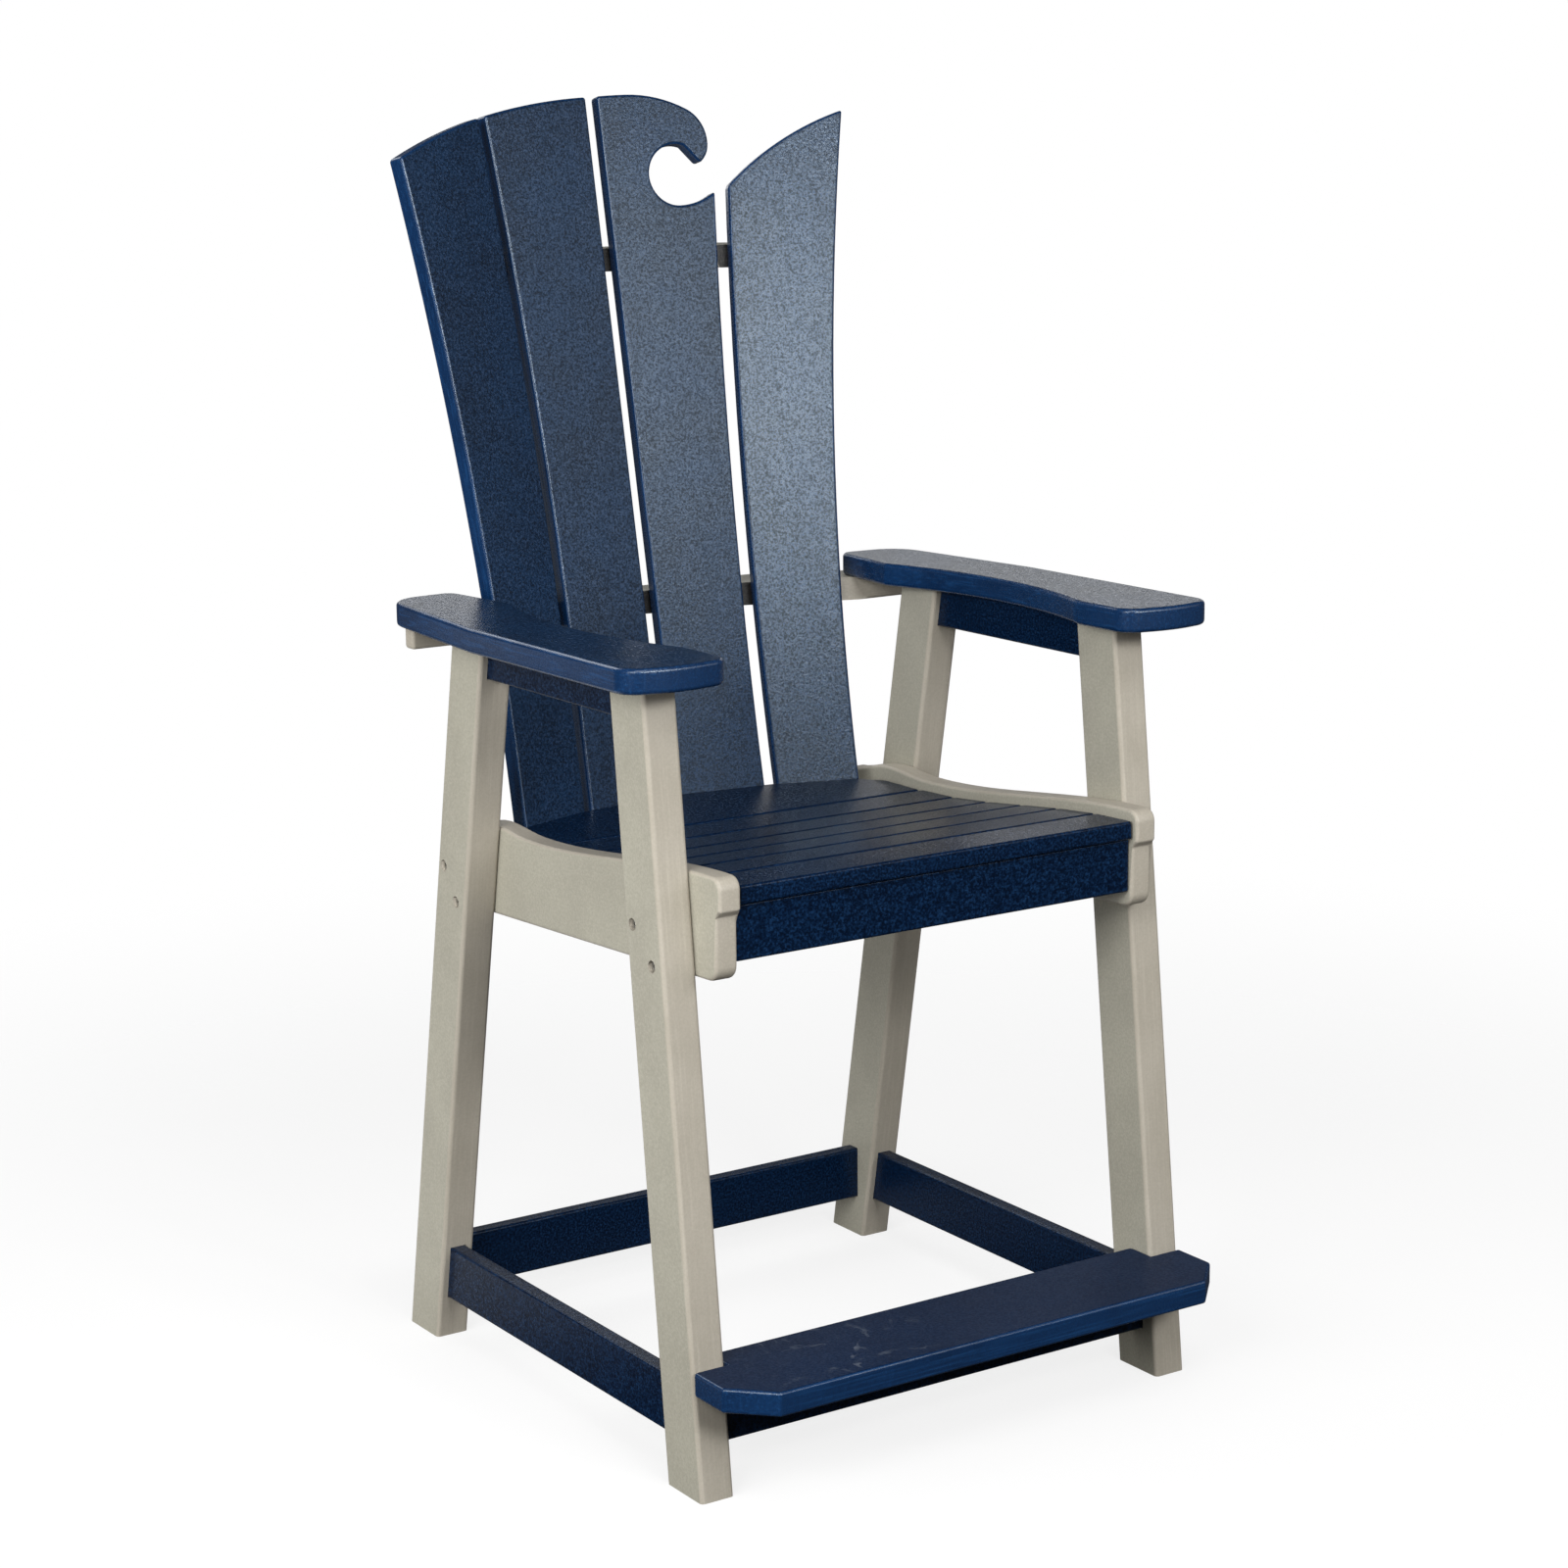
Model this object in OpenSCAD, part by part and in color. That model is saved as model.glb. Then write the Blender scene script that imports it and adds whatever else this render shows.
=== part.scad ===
// Counter-height fan-back armchair in poly lumber boards, with a wave cut into the back.
// The front faces -Y, left is -X, and the origin is on the floor under the middle of the chair.
// Inside the modules y is measured from the front face of the front legs' feet.

/* [Legs] */
// Width over the outer faces of the legs
width = 612; // [560:1:680]
// Thickness of a leg, across the chair
leg_t = 38; // [34:1:44]
// Depth of a leg, square to its lean
leg_d = 63.5; // [56:0.5:72]
// Radius of a leg's long edges
leg_edge_r = 4.5; // [2:0.5:8]
// Distance from the front legs' front face to the rear legs' front face, at the floor
leg_spread = 546; // [500:1:600]
// Backward lean of the front legs, in degrees
front_lean = 6.06; // [3:0.1:8]
// Forward lean of the rear legs, in degrees
rear_lean = 10.4; // [7:0.1:13]

/* [Stretchers and footrest] */
// Height of the stretchers' lower edge
stretcher_z = 47; // [30:1:90]
// Height of a stretcher board
stretcher_h = 61; // [50:1:76]
// Thickness of the stretcher, apron and slat boards
thin_t = 19; // [16:0.5:22]
// Depth of the housing that a stretcher or an arm apron has in a leg
housing = 6; // [4:0.5:10]
// Setback of the front stretcher behind the front legs' front face
front_setback = 16; // [10:1:24]
// Setback of the rear stretcher behind the rear legs' front face
rear_setback = 24; // [12:1:32]
// Thickness of the rail, brace, arm and footrest boards
thick_t = 25.4; // [22:0.2:30]
// Reach of the footrest in front of the front legs' feet
foot_reach = 80.5; // [60:0.5:110]
// Length of the footrest's front corners, cut off at 45 degrees
foot_clip = 41; // [20:1:55]
// Depth of the footrest behind its notch, between the front legs
foot_tongue = 33; // [30:1:45]

/* [Seat] */
// Height of the seat rails' top edge at the front
rail_z = 618.5; // [560:0.5:680]
// Drop of the rail's top edge from the front to its lowest place
rail_dip = 29.5; // [15:0.5:40]
// Rise of the rail's top edge from its lowest place to the hump at the rear
rail_hump = 4.5; // [3:0.5:14]
// Distance from the rail's lowest place to the hump
hump_run = 70; // [50:1:80]
// Distance from the rail's lowest place to the rear leg's front face
dip_setback = 47; // [40:1:60]
// Fall of the rail's top edge from the hump to its rear end
tail_fall = 14; // [10:1:26]
// Depth of the rail board at its front
rail_h = 103; // [90:1:120]
// Slope of the rail's lower edge, in degrees
rail_slope = 2.6; // [0:0.1:4]
// Length by which the rail passes the rear leg's rear face
rail_tail = 42; // [35:1:60]
// Setback of the rails' nose behind the front legs' feet
rail_nose = 13; // [0:0.5:30]
// Depth of the step under the rail's nose
nose_step = 7.5; // [4:0.5:12]
// Height of the rail's nose
nose_h = 36; // [26:1:46]
// Radius of the nose's upper corner
nose_r = 13; // [6:1:16]
// Radius of the rail's lower front corner
toe_r = 15; // [6:1:20]
// Depth of the seat slats' tops below the rails' top edges
seat_drop = 11; // [6:0.5:16]
// Width of a seat slat
slat_w = 58; // [54:0.5:61]
// Gap between two seat slats
slat_gap = 3.8; // [2:0.1:6]
// Gap between a seat slat's end and the rail
slat_end_gap = 3; // [1:0.5:5]
// Setback of the seat front behind the front legs' feet
seat_front = 19; // [14:0.5:24]
// Overhang of the front slat over the apron
apron_setback = 5.6; // [3:0.2:9]
// Depth of the apron board below the front slat
apron_h = 57; // [45:1:68]
// Height of a cleat's lower edge over the rail's lower edge
cleat_rise = 28; // [22:1:32]

/* [Back] */
// Lean of the back, in degrees
back_lean = 11; // [7:0.5:15]
// Distance from the rear leg's front face to the back's front face, at seat height
back_setback = 89; // [84:0.5:105]
// Turn of the two middle slats, in degrees
inner_turn = 6.75; // [3:0.25:9]
// Turn of the two outer slats, in degrees
outer_turn = 18.4; // [14:0.2:21]
// Distance from the middle of the back to the line where the turn changes
fold_s = 122.8; // [118:0.2:127]
// Gap between two back slats
back_gap = 14; // [8:0.5:20]
// Distance from the middle of the back to a middle slat's outer edge, at the seat
inner_edge = 114; // [104:1:124]
// Distance from the middle of the back to an outer slat's outer edge, at the seat
outer_edge = 226; // [212:1:232]
// Radius of the curve between the middle and the outer slats
inner_flare_r = 6800; // [5500:50:9000]
// Radius of the back's outer edges
outer_flare_r = 3950; // [3500:50:5000]
// Length of the back slats below seat height
slat_foot = 53; // [50:1:60]
// Sideways swing of the left outer slat's foot towards the middle, in degrees
foot_swing = 0.45; // [0:0.05:0.6]

/* [Top of the back] */
// Height of the crest over the seat, along the back
crest_t = 773; // [700:1:840]
// Distance of the crest to the right of the middle
crest_s = 42; // [34:1:48]
// Radius of the long curve that rises to the crest
crest_r = 765; // [650:5:900]
// Radius where the wave's crest starts to fall
curl_r1 = 155; // [145:1:165]
// Radius at the front of the wave
curl_r2 = 42; // [40:0.5:46]
// Radius under the wave's front, down to its tip
curl_r3 = 27; // [24:0.5:30]
// Radius of the round hollow under the wave
hollow_r = 34; // [31:0.5:36]
// Distance from the middle of the back to the hollow's centre
hollow_s = 94.5; // [92:0.5:97]
// Depth of the hollow's centre below the crest
hollow_drop = 91.5; // [89:0.5:95]
// Radius of the trough in front of the wave
trough_r = 80; // [70:1:95]
// Depth below the crest at which the right slat's top starts
break_drop = 107; // [95:1:120]
// Radius of the right slat's top
break_r = 345; // [300:5:420]
// Slope at which the right slat's top starts, in degrees
break_slope = 41; // [36:0.5:46]

/* [Arms] */
// Height of the arms' top faces
arm_z = 826; // [770:1:880]
// Overhang of an arm outside the leg
arm_out = 49.5; // [44:0.5:60]
// Overhang of an arm inside the leg
arm_in = 29; // [24:0.5:32]
// Overhang of an arm in front of the front leg
arm_front = 65; // [50:1:80]
// Overhang of an arm behind the rear leg
arm_rear = 94; // [85:1:120]
// Setback of an arm's front corners behind the middle of its front edge
arm_bow = 12; // [6:0.5:13]
// Taper of an arm's outer edge at the rear
arm_taper = 23; // [10:1:30]
// Length of that taper
arm_taper_run = 222; // [180:1:260]
// Depth of the scoop in an arm's inner edge
scoop = 29; // [15:1:33]
// Distance from an arm's front edge to its scoop
scoop_start = 88; // [80:1:110]
// Distance from the scoop to an arm's rear end
scoop_end = 103; // [96:1:120]
// Radius of an arm's outer front corner
arm_corner_r = 26; // [15:1:28]
// Radius of an arm's inner front corner
arm_inner_r = 24; // [15:1:26]
// Radius of an arm's outer rear corner
arm_rear_r = 44; // [20:1:48]
// Height of the apron board under an arm
arm_apron_h = 43; // [36:1:60]

/* [Back braces] */
// Overhang of the arm brace outside the leg
brace_out = 15; // [0:1:30]
// Setback of the arm brace behind the rear leg's rear face
brace_setback = 59; // [50:1:64]
// Depth of the wood behind the middle of the back, at each brace
brace_web = 40; // [34:1:50]
// Depth of the arm brace's ends, in front of their cut-off corners
brace_end_d = 16; // [10:1:24]
// Distance between the two screws that hold an outer slat to a brace
screw_pitch = 36; // [30:1:40]
// Height of the upper brace's lower face
upper_brace_z = 1151; // [1000:1:1180]
// Depth of the upper brace's ends, from the slats' outer edges to their cut-off corners
upper_end_d = 34; // [28:1:40]
// Half the length of the upper brace
upper_half = 238; // [225:1:245]

/* [Fasteners] */
// Diameter of a screw's shank
screw_d = 4.8; // [4:0.1:5.5]
// Diameter of a screw's head
head_d = 8.6; // [8:0.1:9]
// Height of a screw's head
head_h = 3.2; // [2.4:0.1:4]
// Diameter of a counterbore
bore_d = 9.6; // [9.2:0.1:11]
// Diameter of the head of a screw through a leg into a rail
rail_head_d = 10.8; // [10:0.1:11.5]
// Diameter of the counterbore over that head
rail_bore_d = 12.6; // [12:0.1:14]
// Depth of the counterbore over a screw's head
recess = 3; // [2:0.5:5]
// Length of a screw's end in the board that it holds
bite = 14; // [11:0.5:15]
// Clearance round a shank, and round a board in its housing
fit = 0.15; // [0.05:0.05:0.3]
// Distance between the footrest's screws that are next to the middle
foot_screw_pitch = 134; // [100:1:140]
// Distance of an arm apron's screws from the legs
arm_screw_inset = 60; // [40:1:80]

/* [Hidden] */
navy = "#1c3354";
taupe = "#b3af9f";
steel = "#b8bcc0";
$fn = 32;
sides = [-1, 1];
far = 2000;

// Heights and distances that follow from the sizes above
leg_out = width / 2;
leg_in = leg_out - leg_t;
leg_mid = leg_out - leg_t / 2;
rail_in = leg_in - thick_t;
arm_under = arm_z - thick_t;
foot_under = stretcher_z + stretcher_h;
foot_top = foot_under + thick_t;

// Front and rear faces of the legs at a height
function front_leg_face(z) = z * tan(front_lean);
function front_leg_back(z) = front_leg_face(z) + leg_d / cos(front_lean);
function rear_leg_face(z) = leg_spread - z * tan(rear_lean);
function rear_leg_back(z) = rear_leg_face(z) + leg_d / cos(rear_lean);

// Seat rail: its top edge falls from the front to the dip, rises to the hump and falls again
curve_lead = 7;
curve_front = rail_nose + curve_lead;
dip_y = rear_leg_face(rail_z) - dip_setback;
hump_y = dip_y + hump_run;
rail_end = rear_leg_back(rail_z) + rail_tail;
function ease(t) = let (u = min(max(t, 0), 1)) u * u * (3 - 2 * u);
function rail_top(y) = rail_z
    - rail_dip * ease((y - curve_front) / (dip_y - curve_front))
    + rail_hump * ease((y - dip_y) / (hump_y - dip_y))
    - tail_fall * ease((y - hump_y) / (rail_end - hump_y));
function rail_bottom(y) = rail_z - rail_h - (y - rail_nose) * tan(rail_slope);
function cleat_bottom(y) = rail_bottom(y) + cleat_rise;

// Seat slats: each lies along a chord of the seat's curve, and the rear one is level
slat_half = rail_in - slat_end_gap;
slat_edge_r = 3;
last_slat = 6;
rear_slat_end = hump_y;
rear_corner_r = 14;
function slat_y(i) = seat_front + i * (slat_w + slat_gap);
function slat_span(i) = i < last_slat ? slat_w : rear_slat_end - slat_y(last_slat);
function slat_z(y) = rail_top(y) - seat_drop;
function slat_tilt(i) = i < last_slat ? atan2(slat_z(slat_y(i) + slat_w) - slat_z(slat_y(i)), slat_w) : 0;
// A point of slat i in (y, z), from a distance along its top and a depth below it
function slat_point(i, along, down) = [
    slat_y(i) + along * cos(slat_tilt(i)) + down * sin(slat_tilt(i)),
    slat_z(slat_y(i)) + along * sin(slat_tilt(i)) - down * cos(slat_tilt(i)),
];
apron_y = seat_front + apron_setback;
function apron_top(y) = let (p = slat_point(0, 0, thin_t)) p[1] + (y - p[0]) * tan(slat_tilt(0));

// Back: s runs across it from the middle, and t runs up it from seat height
back_drop = 4.5;
back_z = rail_z - rail_dip - back_drop;
back_y = rear_leg_face(back_z) + back_setback;
waist_t = 80;
function inner_side(t) = inner_edge + pow(t - waist_t, 2) / (2 * inner_flare_r);
function outer_side(t) = outer_edge + outer_flare_r - sqrt(pow(outer_flare_r, 2) - t * t);
function across(turn, side) = [side * cos(turn), -sin(turn) * cos(back_lean), sin(turn) * sin(back_lean)];
function square_to(turn, side) = [side * sin(turn), cos(turn) * cos(back_lean), -cos(turn) * sin(back_lean)];
up_back = [0, sin(back_lean), cos(back_lean)];
function turn_of(outer) = outer ? outer_turn : inner_turn;
// A point of the back: s outward, t upward, d behind the front face
function back_point(side, outer, s, t, d) = [0, back_y, back_z] + t * up_back
    + (outer ? fold_s * across(inner_turn, side) + (s - fold_s) * across(outer_turn, side)
             : s * across(inner_turn, side))
    + d * square_to(turn_of(outer), side);
// The t at which the rear face of a slat has a height z
function t_at(outer, s, z) = (z - back_point(1, outer, s, 0, thin_t)[2]) / cos(back_lean);

// Braces: heights of their lower faces
arm_brace_z = arm_under - thick_t;
seat_brace_z = slat_z(slat_y(last_slat)) - thin_t - thick_t;
brace_ends_y = rear_leg_back(arm_under) + brace_setback;
function brace_rear(z) = back_point(1, false, 0, t_at(false, 0, z), thin_t)[1] + brace_web;
crest_rear = back_point(1, false, crest_s, crest_t, thin_t)[1];
middle_y = (max(brace_rear(upper_brace_z + thick_t), crest_rear) - foot_reach) / 2;

// Points of an arc, and of an outline whose corners [x, y, r] are rounded
function dir(a) = [cos(a), sin(a)];
function arc(centre, r, a0, a1, n, first = 0) = [
    for (i = [first:n]) centre + r * dir(a0 + (a1 - a0) * i / n)
];
function unit(v) = v / norm(v);
function xy(p) = [p[0], p[1]];
function corner(a, b, c, r) = let (
        u = unit(a - b),
        v = unit(c - b),
        half = acos(u * v) / 2,
        centre = b + unit(u + v) * r / sin(half),
        turn = (u[0] * v[1] - u[1] * v[0] > 0 ? -1 : 1) * (180 - 2 * half),
        start = b + u * r / tan(half) - centre,
        a0 = atan2(start[1], start[0])
    ) arc(centre, r, a0, a0 + turn, 6);
function outline(points) = let (n = len(points)) [
    for (i = [0:n - 1])
        each points[i][2] == 0 ? [xy(points[i])]
            : corner(xy(points[(i + n - 1) % n]), xy(points[i]), xy(points[(i + 1) % n]), points[i][2])
];

// The chair stands with its middle over the origin
module placed() {
    translate([0, -middle_y, 0]) children();
}

// A profile in (y, z) made a board between two values of x
module board_across(x0, x1) {
    translate([min(x0, x1), 0, 0]) rotate([90, 0, 90]) linear_extrude(abs(x1 - x0)) children();
}

// A rectangle with round corners, from the origin
module round_section(w, h, r) {
    translate([r, 0]) square([w - 2 * r, h]);
    translate([0, r]) square([w, h - 2 * r]);
    for (x = [r, w - r], y = [r, h - r]) translate([x, y]) circle(r);
}

// A screw: z is 0 under its head, and it points up
module screw(length, head = head_d) {
    tip = 5;
    tip_d = 1;
    drive = 3;
    drive_depth = 2;
    difference() {
        union() {
            translate([0, 0, -head_h]) cylinder(d = head, h = head_h);
            cylinder(d = screw_d, h = length - tip);
            translate([0, 0, length - tip]) cylinder(d1 = screw_d, d2 = tip_d, h = tip);
        }
        translate([-drive / 2, -drive / 2, -head_h - 1]) cube([drive, drive, drive_depth + 1]);
    }
}

// The hole for a screw, with a counterbore that runs back from its head
module screw_hole(length, back, bore = bore_d) {
    translate([0, 0, -back]) cylinder(d = bore, h = back);
    cylinder(d = screw_d + 2 * fit, h = length + 1);
}

// Screws through the legs into the rails: two on a slant in each leg
rail_screw_rise = [14, 49];
rail_screw_inset = [20, 51];
rail_screw_bite = 18;
rail_screw_length = leg_t - 2 * recess + rail_screw_bite;
module at_rail_screws(side) {
    for (rear = [false, true], k = [0, 1]) {
        leg_y = rear ? rear_leg_face(rail_z) : (front_leg_face(rail_z) + front_leg_back(rail_z)) / 2;
        z = rail_bottom(leg_y) + rail_screw_rise[k];
        y = (rear ? rear_leg_face(z) : front_leg_face(z)) + rail_screw_inset[k];
        translate([side * (leg_out - 2 * recess), y, z]) rotate([0, -side * 90, 0]) children();
    }
}

// Screws through the cleats into the rails, under the gaps between the slats
cleat_screw_rise = 11;
cleat_screw_length = thick_t - recess + bite;
module at_cleat_screws(side) {
    for (i = [1, 3, 5]) {
        y = slat_y(i) - slat_gap / 2;
        translate([side * (rail_in - thick_t + recess), y, cleat_bottom(y) + cleat_screw_rise])
            rotate([0, side * 90, 0]) children();
    }
}

// Screws up through the cleats into the seat slats
slat_screw_grip = 24;
slat_screw_length = slat_screw_grip + bite;
slat_screw_x = rail_in - thick_t / 2 - 3;
front_screw_y = 16;
module at_slat_screws(side, i) {
    along = i == 0 ? slat_w - front_screw_y : slat_span(i) / 2;
    on_seat_slat(i) translate([side * slat_screw_x, along, -thin_t - slat_screw_grip]) children();
}

// Slanted screws up through the lower edge of a board, into what its end meets.
// The origin is in the middle of the board's end, toe_rise above its lower edge.
toe_slope = 30;
toe_rise = 20;
toe_back = 28;
toe_bite = 22;
toe_length = toe_back + toe_bite;
module at_toe(turn) {
    rotate([0, 0, turn]) rotate([0, 90 - toe_slope, 0]) translate([0, 0, -toe_back]) children();
}
module at_side_toes(side, z0) {
    z = z0 + toe_rise;
    translate([side * leg_mid, front_leg_back(z), z]) at_toe(-90) children();
    translate([side * leg_mid, rear_leg_face(z), z]) at_toe(90) children();
}
module at_front_stretcher_toes() {
    for (side = sides)
        translate([side * leg_in, front_stretcher_y + thin_t / 2, stretcher_z + toe_rise])
            at_toe(side > 0 ? 0 : 180) children();
}
module at_rear_stretcher_toes() {
    for (side = sides)
        translate([side * leg_in, rear_stretcher_y + thin_t / 2, stretcher_z + toe_rise])
            at_toe(side > 0 ? 0 : 180) children();
}
module at_apron_toes() {
    for (side = sides)
        translate([side * rail_in, apron_y + thin_t / 2, apron_top(apron_y) - apron_h + toe_rise])
            at_toe(side > 0 ? 0 : 180) children();
}

// Screws up through the front stretcher into the footrest
foot_screw_grip = 30;
foot_screw_length = foot_screw_grip + bite;
module at_foot_screws() {
    for (k = [-1.5, -0.5, 0.5, 1.5])
        translate([k * foot_screw_pitch, front_stretcher_y + thin_t / 2, foot_under - foot_screw_grip])
            children();
}

// Screws up through an arm's apron and through the arm brace into the arm
arm_screw_grip = 22;
arm_screw_length = arm_screw_grip + bite;
brace_screw_pitch = 27;
brace_screw_y = 15;
module at_arm_screws(side) {
    z = arm_under - arm_screw_grip;
    for (y = [front_leg_back(z) + arm_screw_inset, rear_leg_face(z) - arm_screw_inset])
        translate([side * leg_mid, y, z]) children();
    for (x = [leg_in, leg_in + brace_screw_pitch])
        translate([side * x, brace_ends_y + brace_screw_y, z]) children();
}

// Screws through the rails into the seat brace
brace_screw_bite = 25;
brace_screw_length = thick_t - recess + brace_screw_bite;
rail_end_screws = [26, 11];
module at_seat_brace_screws(side) {
    for (back = rail_end_screws)
        translate([side * (leg_in - recess), rail_end - back, seat_brace_z + thick_t / 2])
            rotate([0, -side * 90, 0]) children();
}

// Level screws through a brace into the slats, two in each slat
brace_grip = 22;
back_screw_length = brace_grip + bite;
outer_screw_in = 20;
inner_screw_in = 24;
function screw_columns(outer, t) = outer
    ? [inner_side(t) + back_gap + outer_screw_in, inner_side(t) + back_gap + outer_screw_in + screw_pitch]
    : [back_gap / 2 + inner_screw_in, inner_side(t) - inner_screw_in];
module at_back_screws(side, outer, z) {
    for (s = screw_columns(outer, t_at(outer, fold_s, z)))
        translate(back_point(side, outer, s, t_at(outer, s, z), thin_t))
            rotate([0, 0, -side * turn_of(outer)]) rotate([90, 0, 0])
                translate([0, 0, -brace_grip]) children();
}
brace_mids = [seat_brace_z + thick_t / 2, arm_brace_z + thick_t / 2, upper_brace_z + thick_t / 2];

// Legs: rounded bars on the slant, cut level at the floor and under the arms
module leg_bar(side, foot_y, lean) {
    intersection() {
        translate([side > 0 ? leg_in : -leg_out, foot_y, 0]) rotate([-lean, 0, 0])
            translate([0, 0, -leg_d]) linear_extrude(2 * arm_under)
                round_section(leg_t, leg_d, leg_edge_r);
        translate([-far / 2, -far / 2, 0]) cube([far, far, arm_under]);
    }
}

module front_leg(side) {
    color(taupe) placed() difference() {
        leg_bar(side, 0, front_lean);
        side_stretcher_board(side, fit);
        arm_apron_board(side, fit);
        front_stretcher_board(fit);
        at_rail_screws(side) screw_hole(rail_screw_length, 2 * recess + 1, rail_bore_d);
        at_side_toes(side, stretcher_z) screw_hole(toe_length, toe_back);
        at_side_toes(side, arm_under - arm_apron_h) screw_hole(toe_length, toe_back);
        at_front_stretcher_toes() screw_hole(toe_length, toe_back);
    }
}

module rear_leg(side) {
    color(taupe) placed() difference() {
        leg_bar(side, leg_spread, -rear_lean);
        side_stretcher_board(side, fit);
        arm_apron_board(side, fit);
        rear_stretcher_board(fit);
        at_rail_screws(side) screw_hole(rail_screw_length, 2 * recess + 1, rail_bore_d);
        at_side_toes(side, stretcher_z) screw_hole(toe_length, toe_back);
        at_side_toes(side, arm_under - arm_apron_h) screw_hole(toe_length, toe_back);
        at_rear_stretcher_toes() screw_hole(toe_length, toe_back);
    }
}

// A board between a front and a rear leg, with its ends on the legs' slants
module leg_to_leg_board(side, z0, z1, grow) {
    lo = z0 - grow;
    hi = z1 + grow;
    front = -housing - grow;
    rear = housing + grow;
    half = thin_t / 2 + grow;
    board_across(side * leg_mid - half, side * leg_mid + half) polygon([
        [front_leg_back(lo) + front, lo], [rear_leg_face(lo) + rear, lo],
        [rear_leg_face(hi) + rear, hi], [front_leg_back(hi) + front, hi],
    ]);
}

module side_stretcher_board(side, grow = 0) {
    leg_to_leg_board(side, stretcher_z, stretcher_z + stretcher_h, grow);
}

module side_stretcher(side) {
    color(navy) placed() difference() {
        side_stretcher_board(side);
        at_side_toes(side, stretcher_z) screw_hole(toe_length, far / 10);
    }
}

module arm_apron_board(side, grow = 0) {
    leg_to_leg_board(side, arm_under - arm_apron_h, arm_under, grow);
}

module arm_apron(side) {
    color(navy) placed() difference() {
        arm_apron_board(side);
        at_side_toes(side, arm_under - arm_apron_h) screw_hole(toe_length, far / 10);
        at_arm_screws(side) screw_hole(arm_screw_length, far / 10);
    }
}

// Front and rear stretchers, housed in the legs' inner faces
front_stretcher_y = front_leg_face(stretcher_z + stretcher_h / 2) + front_setback;
rear_stretcher_y = rear_leg_face(stretcher_z + stretcher_h / 2) + rear_setback;
module cross_board(y, grow) {
    reach = leg_in + housing + grow;
    translate([-reach, y - grow, stretcher_z - grow])
        cube([2 * reach, thin_t + 2 * grow, stretcher_h + 2 * grow]);
}
module front_stretcher_board(grow = 0) {
    cross_board(front_stretcher_y, grow);
}
module rear_stretcher_board(grow = 0) {
    cross_board(rear_stretcher_y, grow);
}

module front_stretcher() {
    color(navy) placed() difference() {
        front_stretcher_board();
        at_front_stretcher_toes() screw_hole(toe_length, far / 10);
        at_foot_screws() screw_hole(foot_screw_length, far / 10);
    }
}

module rear_stretcher() {
    color(navy) placed() difference() {
        rear_stretcher_board();
        at_rear_stretcher_toes() screw_hole(toe_length, far / 10);
    }
}

// Footrest: notched round the front legs, flush with their outer faces
module footrest() {
    front_r = 4;
    tongue_r = 5;
    notch_y = front_leg_face(foot_under);
    tongue_y = notch_y + foot_tongue;
    tongue_x = leg_in - fit;
    color(navy) placed() difference() {
        translate([0, 0, foot_under]) linear_extrude(thick_t) polygon(outline([
            [-leg_out, notch_y, 0], [-leg_out, foot_clip - foot_reach, front_r],
            [foot_clip - leg_out, -foot_reach, front_r], [leg_out - foot_clip, -foot_reach, front_r],
            [leg_out, foot_clip - foot_reach, front_r], [leg_out, notch_y, 0],
            [tongue_x, notch_y, 0], [tongue_x, tongue_y, tongue_r],
            [-tongue_x, tongue_y, tongue_r], [-tongue_x, notch_y, 0],
        ]));
        at_foot_screws() screw_hole(foot_screw_length, 1);
    }
}

// Seat rails: sawn to the curve of the seat, with a rounded nose
module rail_profile() {
    step_r = 3;
    lip_r = 4;
    tail_top_r = 6;
    tail_under_r = 8;
    steps = 36;
    nose_z = rail_z - nose_h;
    under_nose = rail_nose + nose_step;
    top_start = rail_nose + 2 * nose_r;
    top_run = rail_end - top_start;
    polygon(outline(concat(
        [[rail_end, rail_bottom(rail_end), tail_under_r], [under_nose, rail_bottom(under_nose), toe_r]],
        [[under_nose, nose_z - step_r, step_r], [rail_nose, nose_z + step_r, lip_r]],
        [[rail_nose, rail_z, nose_r]],
        [for (i = [0:steps - 1]) let (y = top_start + top_run * i / steps) [y, rail_top(y), 0]],
        [[rail_end, rail_top(rail_end), tail_top_r]]
    )));
}

module seat_rail(side) {
    color(taupe) placed() difference() {
        board_across(side * rail_in, side * leg_in) rail_profile();
        at_rail_screws(side) screw_hole(rail_screw_length, far / 10);
        at_cleat_screws(side) screw_hole(cleat_screw_length, 1);
        at_seat_brace_screws(side) screw_hole(brace_screw_length, far / 10);
        at_apron_toes() screw_hole(toe_length, 1);
    }
}

// Cleats: ledges on the rails' inner faces, with a flat for each slat
module cleat_profile() {
    cleat_front = apron_y + thin_t;
    cleat_rear = rear_slat_end - 3;
    intersection() {
        polygon(concat(
            [for (i = [0:last_slat]) each [slat_point(i, 0, thin_t), slat_point(i, slat_span(i), thin_t)]],
            [[rear_slat_end, cleat_bottom(rear_slat_end)], [0, cleat_bottom(0)]]
        ));
        translate([cleat_front, 0]) square([cleat_rear - cleat_front, far]);
    }
}

module seat_cleat(side) {
    color(taupe) placed() difference() {
        board_across(side * (rail_in - thick_t), side * rail_in) cleat_profile();
        at_cleat_screws(side) screw_hole(cleat_screw_length, far / 10);
        for (i = [0:last_slat]) at_slat_screws(side, i) screw_hole(slat_screw_length, far / 20);
    }
}

// Front apron, up under the front slat
module front_apron() {
    low = apron_top(apron_y) - apron_h;
    rear = apron_y + thin_t;
    color(navy) placed() difference() {
        board_across(-rail_in, rail_in) polygon([
            [apron_y, low], [rear, low], [rear, apron_top(rear)], [apron_y, apron_top(apron_y)],
        ]);
        at_apron_toes() screw_hole(toe_length, far / 10);
    }
}

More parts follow.
